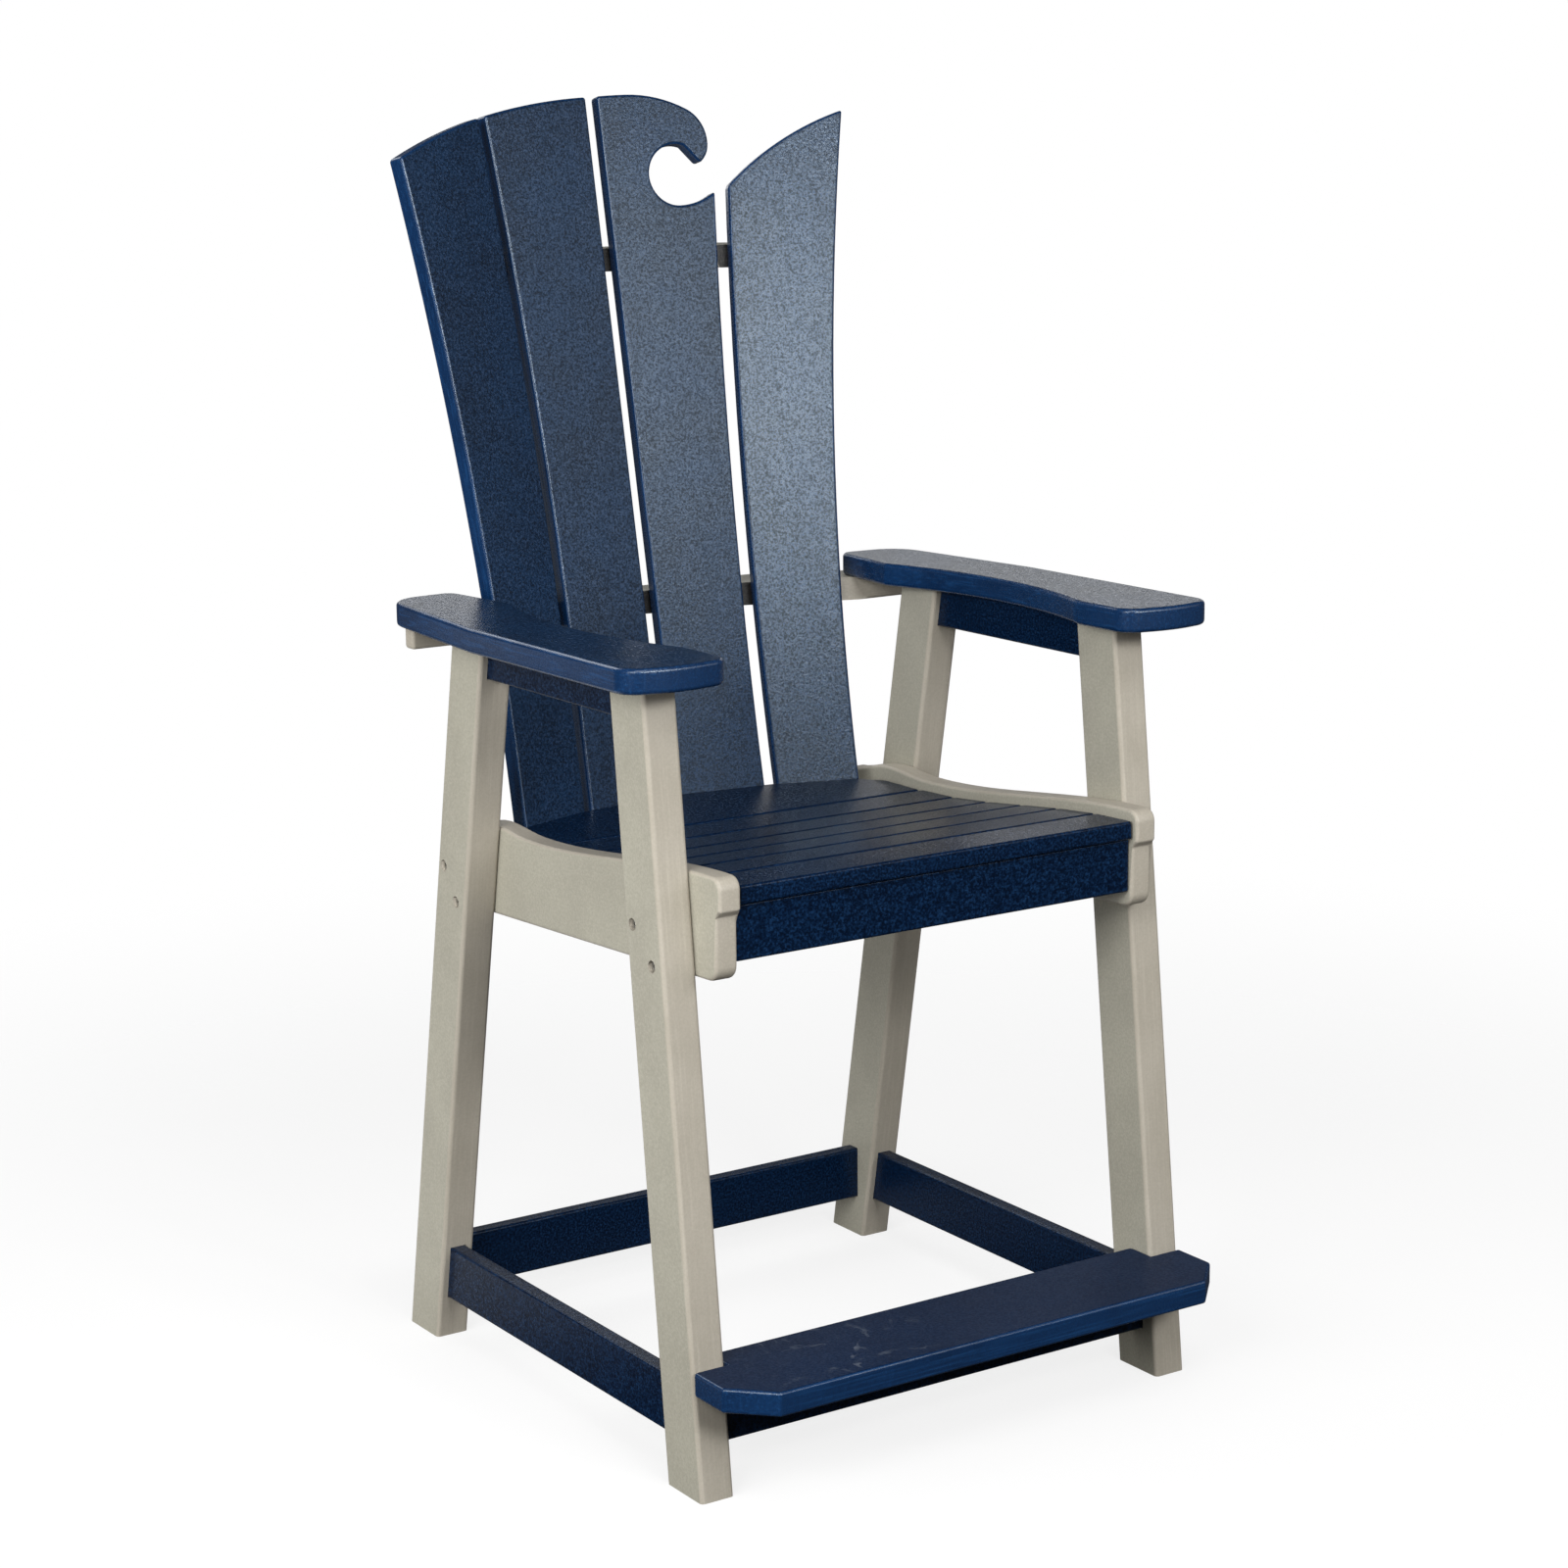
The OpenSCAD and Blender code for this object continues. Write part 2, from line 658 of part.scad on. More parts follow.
module on_seat_slat(i) {
    translate([0, slat_y(i), slat_z(slat_y(i))]) rotate([slat_tilt(i), 0, 0]) children();
}

module seat_slat(i) {
    color(navy) placed() difference() {
        on_seat_slat(i) board_across(-slat_half, slat_half)
            translate([0, -thin_t]) round_section(slat_w, thin_t, slat_edge_r);
        for (side = sides) at_slat_screws(side, i) screw_hole(slat_screw_length, 0.5);
    }
}

// Rear seat slat: a wide board whose rear edge follows the back slats
module rear_seat_slat() {
    corner_x = min(outer_edge, slat_half - rear_corner_r);
    corner_y = rear_slat_end + rear_corner_r;
    color(navy) placed() difference() {
        intersection() {
            on_seat_slat(last_slat) translate([-slat_half, 0, -thin_t]) linear_extrude(thin_t)
                translate([slat_half, -slat_y(last_slat)]) polygon(outline([
                    [-slat_half, slat_y(last_slat), 0], [slat_half, slat_y(last_slat), 0],
                    [slat_half, rear_slat_end, rear_corner_r], [corner_x, corner_y, 0], [0, far / 2, 0],
                    [-corner_x, corner_y, 0], [-slat_half, rear_slat_end, rear_corner_r],
                ]));
            fan_space(-fit);
        }
        for (side = sides) at_slat_screws(side, last_slat) screw_hole(slat_screw_length, 0.5);
    }
}

// The frame of a back slat: x across the back, y behind its front face, z up it
module on_back(side, outer) {
    fold = side * fold_s;
    translate([0, back_y, back_z]) rotate([-back_lean, 0, 0]) rotate([0, 0, -side * inner_turn])
        if (outer)
            translate([fold, 0, 0]) rotate([0, 0, side * (inner_turn - outer_turn)])
                translate([-fold, 0, 0]) children();
        else
            children();
}

// The space in front of the back, up to a depth behind its front faces
module fan_space(depth) {
    intersection_for (outer = [false, true])
        intersection_for (side = sides)
            on_back(side, outer) translate([-far / 2, -far / 2, -far / 2]) cube([far, far / 2 + depth, far]);
}

module back_board(side, outer) {
    color(navy) placed() difference() {
        on_back(side, outer) translate([0, thin_t, 0]) rotate([90, 0, 0]) linear_extrude(thin_t) children();
        for (z = brace_mids) at_back_screws(side, outer, z) screw_hole(back_screw_length, 1);
    }
}

// One side of a slat, from its foot up to a height
function slat_side(outer, side, t1, n) = [
    for (i = [0:n]) let (t = -slat_foot + (t1 + slat_foot) * i / n)
        [side * (outer ? outer_side(t) : inner_side(t)), t]
];
function gap_side(side, t1, n) = [for (p = slat_side(false, side, t1, n)) [p[0] + side * back_gap, p[1]]];
function reversed(list) = [for (i = [len(list) - 1:-1:0]) list[i]];
over_crest = crest_t + 30;
crest = [crest_s, crest_t];
crest_centre = crest - [0, crest_r];
// The ground under the long curve that rises to the crest
module under_crest() {
    polygon(concat(arc(crest_centre, crest_r, 90, 122, 32), [[-far / 4, -slat_foot], [crest_s, -slat_foot]]));
}

// The left outer slat swings about the middle of its top
module back_slat_1() {
    pivot = [-(inner_side(crest_t) + outer_side(crest_t)) / 2, crest_t];
    back_board(-1, true) intersection() {
        translate(pivot) rotate(foot_swing) translate(-pivot)
            polygon(concat(slat_side(true, -1, over_crest, 24), reversed(gap_side(-1, over_crest, 24))));
        under_crest();
    }
}

module back_slat_2() {
    back_board(-1, false) intersection() {
        polygon(concat(
            slat_side(false, -1, over_crest, 24),
            [[-back_gap / 2, over_crest], [-back_gap / 2, -slat_foot]]
        ));
        under_crest();
    }
}

// The wave: long curve, crest, front, tip, round hollow and trough, as arcs that meet smoothly
curl_turn = 62;
tip_turn = -5;
tip_end = -59;
hollow_end = 70;
curl_centre_1 = crest - [0, curl_r1];
curl_centre_2 = curl_centre_1 + (curl_r1 - curl_r2) * dir(curl_turn);
curl_centre_3 = curl_centre_2 + (curl_r2 - curl_r3) * dir(tip_turn);
hollow_centre = [hollow_s, crest_t - hollow_drop];
trough_centre = hollow_centre + [0, trough_r - hollow_r];
module back_slat_3() {
    trough_rise = 13;
    trough_t = hollow_centre[1] - hollow_r + trough_rise;
    trough_edge = inner_side(trough_t);
    trough_a = -acos((trough_edge - trough_centre[0]) / trough_r);
    start_a = 90 + asin((crest_s - back_gap / 2) / crest_r);
    back_board(1, false) polygon(concat(
        [[back_gap / 2, -slat_foot]],
        slat_side(false, 1, trough_t - trough_rise, 22),
        arc(trough_centre, trough_r, trough_a, -90, 8),
        arc(hollow_centre, hollow_r, 270, hollow_end, 28, 1),
        arc(curl_centre_3, curl_r3, tip_end, tip_turn, 8),
        arc(curl_centre_2, curl_r2, tip_turn, curl_turn, 12, 1),
        arc(curl_centre_1, curl_r1, curl_turn, 90, 8, 1),
        arc(crest_centre, crest_r, 90, start_a, 3, 1)
    ));
}

// The outer right slat rises again in front of the wave
module back_slat_4() {
    before = 3;
    sweep = 40;
    break_t = crest_t - break_drop;
    start = [inner_side(break_t) + back_gap, break_t];
    centre = start + break_r * [sin(break_slope), -cos(break_slope)];
    start_a = 90 + break_slope;
    back_board(1, true) intersection() {
        polygon(concat(gap_side(1, over_crest, 24), reversed(slat_side(true, 1, over_crest, 24))));
        polygon(concat(
            arc(centre, break_r, start_a + before, start_a - sweep, 24),
            [[far / 4, -slat_foot], [0, -slat_foot], [0, break_t - break_drop / 3]]
        ));
    }
}

// Braces behind the slats: level boards with their rear corners cut off at 45 degrees,
// and a front edge that is cut to the slats' rear faces
module brace_board(half, front_y, end_d, z) {
    front_r = 4;
    end_r = 5;
    rear_r = 12;
    rear = brace_rear(z + thick_t);
    end_y = front_y + end_d;
    rear_half = half - (rear - end_y);
    t = t_at(false, fold_s, z);
    middle = inner_side(t) + back_gap / 2;
    difference() {
        translate([0, 0, z]) linear_extrude(thick_t) polygon(outline([
            [-half, front_y, front_r], [half, front_y, front_r], [half, end_y, end_r],
            [rear_half, rear, rear_r], [-rear_half, rear, rear_r], [-half, end_y, end_r],
        ]));
        fan_space(thin_t);
        for (side = sides) on_back(side, false)
            translate([side > 0 ? 0 : -middle, -far / 10, t - far / 20])
                cube([middle, far / 10 + thin_t, far / 10]);
        for (side = sides, outer = [false, true])
            at_back_screws(side, outer, z + thick_t / 2) screw_hole(back_screw_length, far / 10);
    }
}

module seat_brace() {
    color(taupe) placed() difference() {
        intersection() {
            brace_board(2 * rail_in, rear_slat_end, brace_end_d, seat_brace_z);
            translate([-rail_in, 0, 0]) cube([2 * rail_in, far, far]);
        }
        for (side = sides) at_seat_brace_screws(side) screw_hole(brace_screw_length, 1);
    }
}

module arm_brace() {
    color(taupe) placed() difference() {
        brace_board(leg_out + brace_out, brace_ends_y, brace_end_d, arm_brace_z);
        for (side = sides) at_arm_screws(side) screw_hole(arm_screw_length, far / 10);
    }
}

module upper_brace() {
    front_y = back_point(1, true, outer_edge, t_at(true, outer_edge, upper_brace_z), 0)[1];
    color(taupe) placed() brace_board(upper_half, front_y, upper_end_d, upper_brace_z);
}

// Arms: a bowed front, a straight outer edge that tapers at the rear, and a scooped inner edge
module arm_outline() {
    bow_r = 120;
    rear_skew = 6;
    inner_rear_in = 12;
    inner_rear_r = 16;
    out = leg_out + arm_out;
    in = leg_in - arm_in;
    front = front_leg_face(arm_under) - arm_front;
    rear = rear_leg_back(arm_under) + arm_rear;
    scoop_front = front + scoop_start;
    scoop_rear = rear - scoop_end;
    half = (scoop_rear - scoop_front) / 2;
    scoop_r = (half * half + scoop * scoop) / (2 * scoop);
    scoop_a = asin(half / scoop_r);
    scoop_centre = [in + scoop - scoop_r, (scoop_front + scoop_rear) / 2];
    polygon(concat(
        outline([
            [in, scoop_front - 1, 0], [in, front + arm_bow, arm_inner_r], [(in + out) / 2, front, bow_r],
            [out, front + arm_bow, arm_corner_r], [out, rear - arm_taper_run, 0],
            [out - arm_taper, rear, arm_rear_r], [in + inner_rear_in, rear + rear_skew, inner_rear_r],
            [in, scoop_rear + 1, 0],
        ]),
        arc(scoop_centre, scoop_r, scoop_a, -scoop_a, 20)
    ));
}

module armrest(side) {
    color(navy) placed() difference() {
        translate([0, 0, arm_under]) linear_extrude(thick_t) mirror([side > 0 ? 0 : 1, 0]) arm_outline();
        at_arm_screws(side) screw_hole(arm_screw_length, 1);
    }
}

// Fasteners, grouped by the joint that they hold
module rail_screws() {
    color(steel) placed() for (side = sides) at_rail_screws(side) screw(rail_screw_length, rail_head_d);
}
module cleat_screws() {
    color(steel) placed() for (side = sides) at_cleat_screws(side) screw(cleat_screw_length);
}
module seat_slat_screws() {
    color(steel) placed() for (side = sides, i = [0:last_slat])
        at_slat_screws(side, i) screw(slat_screw_length);
}
module apron_screws() {
    color(steel) placed() at_apron_toes() screw(toe_length);
}
module seat_brace_screws() {
    color(steel) placed() for (side = sides) at_seat_brace_screws(side) screw(brace_screw_length);
}
module back_slat_screws() {
    color(steel) placed() for (side = sides, outer = [false, true], z = brace_mids)
        at_back_screws(side, outer, z) screw(back_screw_length);
}
module stretcher_screws() {
    color(steel) placed() {
        for (side = sides) at_side_toes(side, stretcher_z) screw(toe_length);
        at_front_stretcher_toes() screw(toe_length);
        at_rear_stretcher_toes() screw(toe_length);
    }
}
module footrest_screws() {
    color(steel) placed() at_foot_screws() screw(foot_screw_length);
}
module arm_apron_screws() {
    color(steel) placed() for (side = sides) at_side_toes(side, arm_under - arm_apron_h) screw(toe_length);
}
module armrest_screws() {
    color(steel) placed() for (side = sides) at_arm_screws(side) screw(arm_screw_length);
}

front_leg(-1);  // front_leg_left
front_leg(1);  // front_leg_right
rear_leg(-1);  // rear_leg_left
rear_leg(1);  // rear_leg_right
side_stretcher(-1);  // side_stretcher_left
side_stretcher(1);  // side_stretcher_right
front_stretcher();
rear_stretcher();
footrest();
seat_rail(-1);  // seat_rail_left
seat_rail(1);  // seat_rail_right
seat_cleat(-1);  // seat_cleat_left
seat_cleat(1);  // seat_cleat_right
front_apron();
seat_brace();
seat_slat(0);  // seat_slat_1
seat_slat(1);  // seat_slat_2
seat_slat(2);  // seat_slat_3
seat_slat(3);  // seat_slat_4
seat_slat(4);  // seat_slat_5
seat_slat(5);  // seat_slat_6
rear_seat_slat();  // seat_slat_7
back_slat_1();
back_slat_2();
back_slat_3();
back_slat_4();
arm_brace();
upper_brace();
arm_apron(-1);  // arm_apron_left
arm_apron(1);  // arm_apron_right
armrest(-1);  // armrest_left
armrest(1);  // armrest_right
rail_screws();
cleat_screws();
seat_slat_screws();
apron_screws();
seat_brace_screws();
back_slat_screws();
stretcher_screws();
footrest_screws();
arm_apron_screws();
armrest_screws();
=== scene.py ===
import math

import bmesh
import bpy
from mathutils import Matrix, Vector


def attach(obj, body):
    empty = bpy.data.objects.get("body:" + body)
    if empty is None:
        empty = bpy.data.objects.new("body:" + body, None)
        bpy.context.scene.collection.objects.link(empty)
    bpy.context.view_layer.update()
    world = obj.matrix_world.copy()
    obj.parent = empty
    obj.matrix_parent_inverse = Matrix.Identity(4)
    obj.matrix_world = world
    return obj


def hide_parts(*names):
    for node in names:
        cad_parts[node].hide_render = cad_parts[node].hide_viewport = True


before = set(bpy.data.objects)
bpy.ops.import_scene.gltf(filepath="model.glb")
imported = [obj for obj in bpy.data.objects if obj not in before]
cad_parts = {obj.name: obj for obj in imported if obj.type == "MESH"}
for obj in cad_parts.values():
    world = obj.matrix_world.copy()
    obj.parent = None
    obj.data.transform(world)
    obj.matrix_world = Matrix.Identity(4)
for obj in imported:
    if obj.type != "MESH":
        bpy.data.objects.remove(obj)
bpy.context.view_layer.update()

# Legs
# Four bars of taupe poly lumber, 38 by 64 mm, with their long arrises routed round. They lean
# towards each other and are housed for the stretchers and the arm aprons.
TAUPE_FACE = (0.455, 0.438, 0.357)
TAUPE_MILLED = (0.475, 0.436, 0.366)
SAME_POINT = 0.00002
FLAT = math.radians(0.4)
ARRIS = math.radians(35)


def merged_copy(node):
    """A board copied from its solid, with the loose triangles merged into flat faces."""
    board = bmesh.new()
    board.from_mesh(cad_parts[node].data)
    bmesh.ops.remove_doubles(board, verts=board.verts, dist=SAME_POINT)
    bmesh.ops.dissolve_limit(
        board, angle_limit=FLAT, verts=board.verts, edges=board.edges, use_dissolve_boundaries=False)
    return board


def new_finish(name, roughness, ior):
    """An empty material and its shader."""
    finish = bpy.data.materials.new(name)
    finish.use_nodes = True
    shader = finish.node_tree.nodes["Principled BSDF"]
    shader.inputs["Roughness"].default_value = roughness
    shader.inputs["IOR"].default_value = ior
    return finish, shader


def mixing_tools(finish):
    """Four helpers for one material: add a node, link two, spread a range and blend two colours."""
    nodes = finish.node_tree.nodes
    link = finish.node_tree.links.new

    def add(kind, **settings):
        node = nodes.new(kind)
        for setting, value in settings.items():
            if hasattr(node, setting):
                setattr(node, setting, value)
            else:
                node.inputs[setting].default_value = value
        return node

    def spread(source, reads, gives, kind="LINEAR"):
        node = add("ShaderNodeMapRange", interpolation_type=kind)
        link(source, node.inputs["Value"])
        for socket, value in zip(("From Min", "From Max", "To Min", "To Max"), (*reads, *gives)):
            node.inputs[socket].default_value = value
        return node.outputs["Result"]

    def blend(factor, first, second):
        mix = add("ShaderNodeMix", data_type="RGBA")
        link(factor, mix.inputs["Factor"])
        for socket, value in (("A", first), ("B", second)):
            slot = [one for one in mix.inputs if one.name == socket and one.type == "RGBA"][0]
            if isinstance(value, tuple):
                slot.default_value = (*value, 1)
            else:
                link(value, slot)
        return [one for one in mix.outputs if one.type == "RGBA"][0]

    return add, link, spread, blend


PLASTIC_IOR = 1.5
SPECK_SCALE = 400
CLOUD_SCALE = 11
STREAK_SCALE = (7, 420, 420)
PIMPLE_SCALE = 420
BUMP_DEPTH = 0.0003


def poly_lumber(name, colour, pale, dark, roughness, peel, streak, speckle, gloss=0.5):
    """Dyed poly lumber: a speckled, slightly cloudy skin with fine streaks along the board."""
    finish, shader = new_finish(name, roughness, PLASTIC_IOR)
    add, link, spread, blend = mixing_tools(finish)
    spot = add("ShaderNodeTexCoord").outputs["Object"]
    grain = add("ShaderNodeAttribute", attribute_name="grain").outputs["Vector"]
    along = add("ShaderNodeMapping", Scale=STREAK_SCALE)
    link(grain, along.inputs["Vector"])

    def noise(source, scale, detail, rough):
        pattern = add("ShaderNodeTexNoise", Scale=scale, Detail=detail, Roughness=rough)
        link(source, pattern.inputs["Vector"])
        return pattern.outputs["Fac"]

    specks = noise(spot, SPECK_SCALE, detail=2, rough=0.7)
    clouds = noise(spot, CLOUD_SCALE, detail=4, rough=0.62)
    streaks = noise(along.outputs["Vector"], 1, detail=4, rough=0.65)
    pimples = noise(spot, PIMPLE_SCALE, detail=2, rough=0.5)

    body = blend(spread(clouds, reads=(0.36, 0.64), gives=(0, 0.5)), colour, dark)
    body = blend(spread(streaks, reads=(0.5, 0.72), gives=(0, streak)), body, pale)
    body = blend(spread(specks, reads=(0.5, 0.74), gives=(0, speckle)), body, pale)
    body = blend(spread(specks, reads=(0.5, 0.36), gives=(0, speckle)), body, dark)
    link(body, shader.inputs["Base Color"])
    dull_to_smooth = (roughness + 0.1 * speckle, roughness - 0.03 * speckle)
    link(spread(specks, reads=(0.34, 0.66), gives=dull_to_smooth), shader.inputs["Roughness"])
    weak_to_strong = (gloss * (1 - 0.38 * speckle), gloss * (1 + 0.12 * speckle))
    shine = spread(specks, reads=(0.38, 0.62), gives=weak_to_strong)
    link(shine, shader.inputs["Specular IOR Level"])

    skin = add("ShaderNodeBump", Strength=peel, Distance=BUMP_DEPTH)
    lines = add("ShaderNodeBump", Strength=streak, Distance=BUMP_DEPTH)
    link(pimples, skin.inputs["Height"])
    link(streaks, lines.inputs["Height"])
    link(skin.outputs["Normal"], lines.inputs["Normal"])
    link(lines.outputs["Normal"], shader.inputs["Normal"])
    return finish


taupe_face = poly_lumber(
    "taupe_face", TAUPE_FACE, pale=(0.58, 0.555, 0.48), dark=(0.36, 0.34, 0.28),
    roughness=0.52, peel=0.35, streak=0.15, speckle=0.42)
taupe_milled = poly_lumber(
    "taupe_milled", TAUPE_MILLED, pale=(0.57, 0.53, 0.45), dark=(0.37, 0.335, 0.27),
    roughness=0.46, peel=0.12, streak=0.5, speckle=0.22)
TAUPE = (taupe_face, taupe_milled)
END_SHARE = 0.04
SAME_FACING = 0.98


def run_of(board):
    """The direction in which a board runs, from the middle of one end to the middle of the other."""
    lows = [min(vert.co[axis] for vert in board.verts) for axis in range(3)]
    highs = [max(vert.co[axis] for vert in board.verts) for axis in range(3)]
    axis = max(range(3), key=lambda one: highs[one] - lows[one])
    rim = END_SHARE * (highs[axis] - lows[axis])
    start = [vert.co for vert in board.verts if vert.co[axis] < lows[axis] + rim]
    end = [vert.co for vert in board.verts if vert.co[axis] > highs[axis] - rim]
    return (sum(end, Vector()) / len(end) - sum(start, Vector()) / len(start)).normalized()


def fit_board(node, board, finishes):
    """Shows a board in place of its solid: first finish on the broad faces, second on the rest."""
    run = run_of(board)
    flat = max(board.faces, key=lambda face: face.calc_area()).normal.copy()
    across = flat.cross(run).normalized()
    run = across.cross(flat)
    mesh = bpy.data.meshes.new(node + "_board")
    for finish in finishes:
        mesh.materials.append(finish)
    for face in board.faces:
        face.smooth = True
        face.material_index = 0 if abs(face.normal.dot(flat)) > SAME_FACING else 1
    board.to_mesh(mesh)
    board.free()
    mesh.set_sharp_from_angle(angle=ARRIS)
    grain = mesh.attributes.new("grain", "FLOAT_VECTOR", "POINT")
    for vert in mesh.vertices:
        grain.data[vert.index].vector = (vert.co.dot(run), vert.co.dot(across), vert.co.dot(flat))
    piece = bpy.data.objects.new(node + "_board", mesh)
    bpy.context.scene.collection.objects.link(piece)
    normals = piece.modifiers.new("even_normals", "WEIGHTED_NORMAL")
    normals.keep_sharp = True
    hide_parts(node)
    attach(piece, "root")
    return piece


for place in ("front_leg_left", "front_leg_right", "rear_leg_left", "rear_leg_right"):
    fit_board(place, merged_copy(place), TAUPE)

# Stretchers
# Four navy boards on edge, 19 by 61 mm, low between the legs. Their ends sit in housings in the
# legs, and their arrises are routed round.
NAVY = (0.0006, 0.0085, 0.0330)
NAVY_FACE = (0.0020, 0.0210, 0.0640)
NAVY_MILLED = (0.0030, 0.0260, 0.0900)
NAVY_SHEEN = (0.80, 0.92, 1.0)
STRETCHER_ROUND = 0.0035
navy_face = poly_lumber(
    "navy_face", NAVY_FACE, pale=(0.032, 0.066, 0.145), dark=(0.0005, 0.004, 0.014),
    roughness=0.29, peel=0.65, streak=0.1, speckle=0.9, gloss=0.6)
navy_moulded = poly_lumber(
    "navy_moulded", NAVY, pale=(0.010, 0.042, 0.115), dark=(0.0003, 0.003, 0.012),
    roughness=0.28, peel=0.6, streak=0.2, speckle=0.9, gloss=0.28)
navy_milled = poly_lumber(
    "navy_milled", NAVY_MILLED, pale=(0.010, 0.060, 0.180), dark=(0.001, 0.010, 0.040),
    roughness=0.27, peel=0.15, streak=0.9, speckle=0.2, gloss=0.9)
for finish in (navy_face, navy_moulded, navy_milled):
    finish.node_tree.nodes["Principled BSDF"].inputs["Specular Tint"].default_value = (*NAVY_SHEEN, 1)
MOULDED = (navy_moulded, navy_moulded)
SAWN = (navy_face, navy_milled)
BORE_STRIP = 0.0013
BORE_TURN = math.radians(3)
UPRIGHT = 0.05
LEVEL = 0.95
ROUND_STEPS = 4


def in_a_bore(face):
    """True for a facet of a screw hole's wall: a narrow strip that meets the next one in a hollow."""
    strip = face.calc_area() / max(edge.calc_length() for edge in face.edges)
    return strip < BORE_STRIP and any(
        len(edge.link_faces) == 2 and not edge.is_convex and edge.calc_face_angle() > BORE_TURN
        for edge in face.edges)


def round_arrises(board, radius, fitted=False):
    """Routs a board's outer arrises round, but not its screw holes, nor cuts that fit the back."""
    kept = {face for face in board.faces if in_a_bore(face)}
    if fitted:
        kept.update(face for face in board.faces if UPRIGHT < abs(face.normal.z) < LEVEL)
    arrises = [
        edge for edge in board.edges
        if len(edge.link_faces) == 2 and edge.is_convex and edge.calc_face_angle() > ARRIS
        and not kept.intersection(edge.link_faces)]
    bmesh.ops.bevel(
        board, geom=arrises, offset=radius, offset_type="OFFSET", segments=ROUND_STEPS, profile=0.5,
        affect="EDGES", clamp_overlap=False, loop_slide=False, material=-1)
    return board


for place in ("side_stretcher_left", "side_stretcher_right", "front_stretcher", "rear_stretcher"):
    fit_board(place, round_arrises(merged_copy(place), STRETCHER_ROUND), MOULDED)

# Footrest
# One thick navy board, notched round the front legs and with its front corners cut off. It lies on
# the front stretcher, and years of shoes have scuffed its top in curved, broken lines.
FOOTREST_ROUND = 0.0035
NAVY_SCUFFED = (0.0010, 0.0130, 0.0480)
SCUFF_COLOUR = (0.085, 0.105, 0.145)
SCUFF_MIDDLE = (-0.150, -0.345, 0.130)
SCUFF_REACH = 0.13
SCUFF_CORE = 0.3 * SCUFF_REACH
CURVE_SCALE = 16
CURVE_LEVEL = 0.5
CURVE_WIDTH = 0.020
PATCH_SCALE = 60
PATCH_LIMITS = (0.48, 0.72)
scuffed = poly_lumber(
    "navy_scuffed", NAVY_SCUFFED, pale=(0.003, 0.024, 0.078), dark=(0.0008, 0.008, 0.032),
    roughness=0.42, peel=0.4, streak=0.2, speckle=0.5, gloss=0.12)
add, link, spread, blend = mixing_tools(scuffed)
spot = add("ShaderNodeTexCoord").outputs["Object"]
curves = add("ShaderNodeTexNoise", Scale=CURVE_SCALE, Detail=3, Distortion=0.6)
patches = add("ShaderNodeTexNoise", Scale=PATCH_SCALE, Detail=4)
away = add("ShaderNodeVectorMath", operation="DISTANCE")
away.inputs[1].default_value = SCUFF_MIDDLE
for pattern in (curves, patches, away):
    link(spot, pattern.inputs[0])
on_curve = add("ShaderNodeMath", operation="COMPARE")
on_curve.inputs[1].default_value = CURVE_LEVEL
on_curve.inputs[2].default_value = CURVE_WIDTH
link(curves.outputs["Fac"], on_curve.inputs[0])
scuffs = on_curve.outputs["Value"]
near = spread(away.outputs["Value"], reads=(SCUFF_REACH, SCUFF_CORE), gives=(0, 1))
worn = spread(patches.outputs["Fac"], reads=PATCH_LIMITS, gives=(0, 1))
for share in (near, worn):
    product = add("ShaderNodeMath", operation="MULTIPLY")
    link(scuffs, product.inputs[0])
    link(share, product.inputs[1])
    scuffs = product.outputs["Value"]
top_colour = scuffed.node_tree.nodes["Principled BSDF"].inputs["Base Color"]
link(blend(scuffs, top_colour.links[0].from_socket, SCUFF_COLOUR), top_colour)
footrest = round_arrises(merged_copy("footrest"), FOOTREST_ROUND)
fit_board("footrest", footrest, (scuffed, navy_milled))

# Seat rails
# Two taupe boards sawn to the curve of the seat, screwed inside the legs. Every sawn edge is
# routed round, and the front end is a rounded nose.
RAIL_ROUND = 0.004
for place in ("seat_rail_left", "seat_rail_right"):
    fit_board(place, round_arrises(merged_copy(place), RAIL_ROUND), TAUPE)

# Seat cleats
# Two taupe ledges that carry the seat slats and are planed flat for each of them. They are screwed
# to the rails' inner faces.
for place in ("seat_cleat_left", "seat_cleat_right"):
    fit_board(place, merged_copy(place), TAUPE)

# Front apron
# A navy board on edge between the rails, up under the front slat. Slanting screws hold its ends,
# and its arrises are routed round.
APRON_ROUND = 0.003
fit_board("front_apron", round_arrises(merged_copy("front_apron"), APRON_ROUND), MOULDED)

# Seat slats
# Six narrow navy boards and a wide one at the rear, which is cut to the back. They lie on the
# cleats with gaps of about 4 mm, and their long arrises are routed round.
REAR_SLAT_ROUND = 0.003
for number in range(1, 7):
    place = f"seat_slat_{number}"
    fit_board(place, merged_copy(place), MOULDED)
rear_slat = round_arrises(merged_copy("seat_slat_7"), REAR_SLAT_ROUND, fitted=True)
fit_board("seat_slat_7", rear_slat, MOULDED)

# Back slats
# Four navy boards, fanned and sawn to long curves, with a wave cut into the third and the fourth.
# The saw cuts are milled smooth and routed round, and the faces keep the skin of the board.
BACK_ROUND = 0.0035
for number in range(1, 5):
    place = f"back_slat_{number}"
    fit_board(place, round_arrises(merged_copy(place), BACK_ROUND), SAWN)

